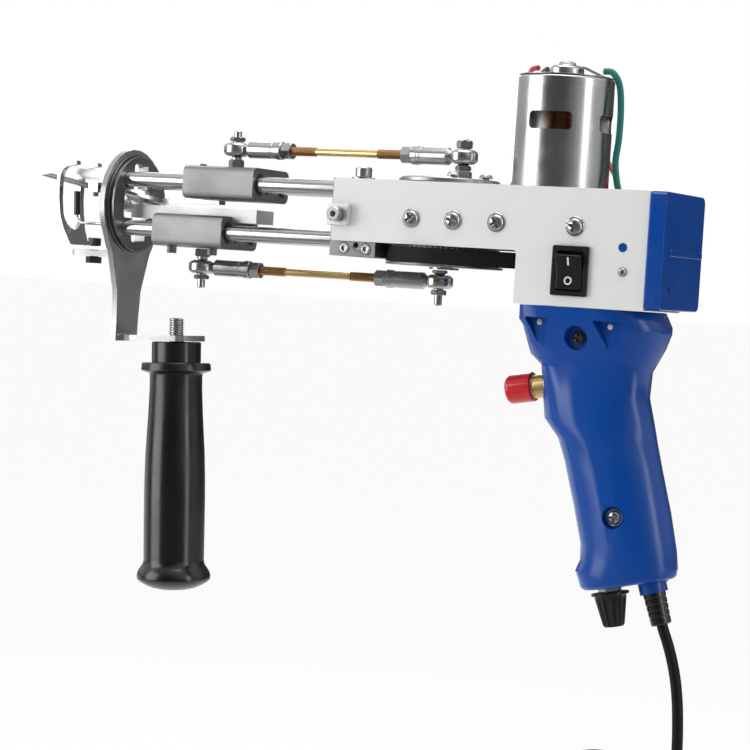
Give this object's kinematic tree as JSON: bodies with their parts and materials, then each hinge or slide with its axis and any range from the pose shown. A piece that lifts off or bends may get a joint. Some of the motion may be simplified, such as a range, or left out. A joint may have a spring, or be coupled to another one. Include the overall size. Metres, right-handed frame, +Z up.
{
  "type": "handheld tufting machine",
  "caption": "Hand-held cut-pile tufting machine: a crank drives a hollow needle and scissors on guide rods, with motor and belt, pistol grip, side handle and cord.",
  "frame": {"origin": "centre of the pistol grip where the hand holds it, in the machine's middle plane", "axes": "+X from the needle's tip towards the rear cap, along the guide rods; +Y to the right-hand panel; +Z up, along the motor's axis"},
  "size_m": [0.3905, 0.063, 0.4396],
  "materials": {
    "white_paint": "satin",
    "aluminium": "satin",
    "steel": "bright",
    "dark_steel": "satin",
    "black_plastic": "satin",
    "black_rubber": "matt",
    "brass": "bright",
    "blue_plastic": "satin",
    "red_plastic": "satin",
    "green_plastic": "satin",
    "copper": "satin"
  },
  "bodies": {
    "frame": {"timing_belt": "black_rubber", "left_side_panel": "white_paint", "right_side_panel": "white_paint", "front_rod_block": "aluminium", "deck_plate": "white_paint", "crank_bearing_block": "aluminium", "upper_bearing": "steel", "lower_bearing": "steel", "motor_block": "white_paint", "rear_cap": "blue_plastic", "clamp_block": "aluminium", "switch_body": "black_plastic", "motor_can": "steel", "motor_end_cap": "black_plastic", "green_lead": "green_plastic", "red_lead": "red_plastic", "upper_near_rod": "steel", "upper_far_rod": "steel", "lower_near_rod": "steel", "lower_far_rod": "steel", "nose_disc": "aluminium", "handle_bracket": "steel", "side_handle": "black_rubber", "handle_stud": "steel", "presser_foot": "steel", "foot_bolt": "dark_steel", "guard_wire": "steel", "left_grip_shell": "blue_plastic", "right_grip_shell": "blue_plastic", "trigger_collar": "brass", "speed_pot": "steel", "strain_relief": "black_rubber", "cord_run": "black_rubber", "cord_coil": "black_rubber", "cord_plug": "black_plastic"},
    "crank": {"crank_pulley": "aluminium", "crank_shaft": "steel", "crank_disc": "steel"},
    "motor_rotor": {"armature": "copper", "motor_pulley": "aluminium"},
    "needle_carriage": {"needle_slider": "aluminium", "needle_front_pin": "steel", "needle_arm": "steel", "needle": "steel"},
    "needle_link": {"needle_link_stud": "brass", "needle_front_rod_end": "steel", "needle_rear_rod_end": "steel", "needle_rear_pin": "steel"},
    "scissor_carriage": {"scissor_slider": "aluminium", "scissor_front_pin": "steel", "scissor_bar": "aluminium", "fixed_blade": "steel"},
    "cutting_blade": {"moving_blade": "steel"},
    "scissor_link": {"scissor_link_stud": "brass", "scissor_front_rod_end": "steel", "scissor_rear_rod_end": "steel", "scissor_rear_pin": "steel"},
    "power_rocker": {"rocker": "black_plastic"},
    "trigger": {"trigger_button": "red_plastic"},
    "speed_dial": {"speed_knob": "black_plastic"}
  },
  "joints": [
    {"name": "crank_spin", "type": "hinge", "parent": "frame", "child": "crank", "pos_m": [-0.09623, 0, 0.08], "axis": [0, 0, 1], "continuous": true},
    {"name": "motor_spin", "type": "hinge", "parent": "frame", "child": "motor_rotor", "pos_m": [-0.037, 0, 0.08], "axis": [0, 0, 1], "continuous": true},
    {"name": "needle_slide", "type": "slide", "parent": "frame", "child": "needle_carriage", "axis": [1, 0, 0], "range_m": [-0.02305, 0.00195]},
    {"name": "needle_link_swing", "type": "hinge", "parent": "needle_carriage", "child": "needle_link", "pos_m": [-0.21969, 0, 0.1424], "axis": [0, 0, 1], "range_deg": [-2.36, 8.34]},
    {"name": "scissor_slide", "type": "slide", "parent": "frame", "child": "scissor_carriage", "axis": [1, 0, 0], "range_m": [-0.00591, 0.01909]},
    {"name": "scissor_link_swing", "type": "hinge", "parent": "scissor_carriage", "child": "scissor_link", "pos_m": [-0.23682, 0, 0.08], "axis": [0, 0, 1], "range_deg": [-9.79, 0.92]},
    {"name": "blade_open", "type": "hinge", "parent": "scissor_carriage", "child": "cutting_blade", "pos_m": [-0.28302, 0, 0.1103], "axis": [0, 1, 0], "range_deg": [-2.2, 7.12]},
    {"name": "power_rock", "type": "hinge", "parent": "frame", "child": "power_rocker", "pos_m": [-0.01725, -0.0245, 0.08905], "axis": [1, 0, 0], "range_deg": [-14, 0]},
    {"name": "trigger_press", "type": "slide", "parent": "frame", "child": "trigger", "axis": [0.9839, 0, 0.1788], "range_m": [0, 0.003], "stiffness_N_per_m": 900, "springref_m": -0.002},
    {"name": "speed_turn", "type": "hinge", "parent": "frame", "child": "speed_dial", "pos_m": [0.0031, 0, -0.0623], "axis": [-0.1977, 0, 0.9803], "range_deg": [-140, 140]}
  ],
  "couplings": [
    {"joint": "motor_spin", "follows": "crank_spin", "ratio": 3.75},
    {"joint": "blade_open", "follows": "scissor_slide", "rad_per_m": 6.4955}
  ]
}
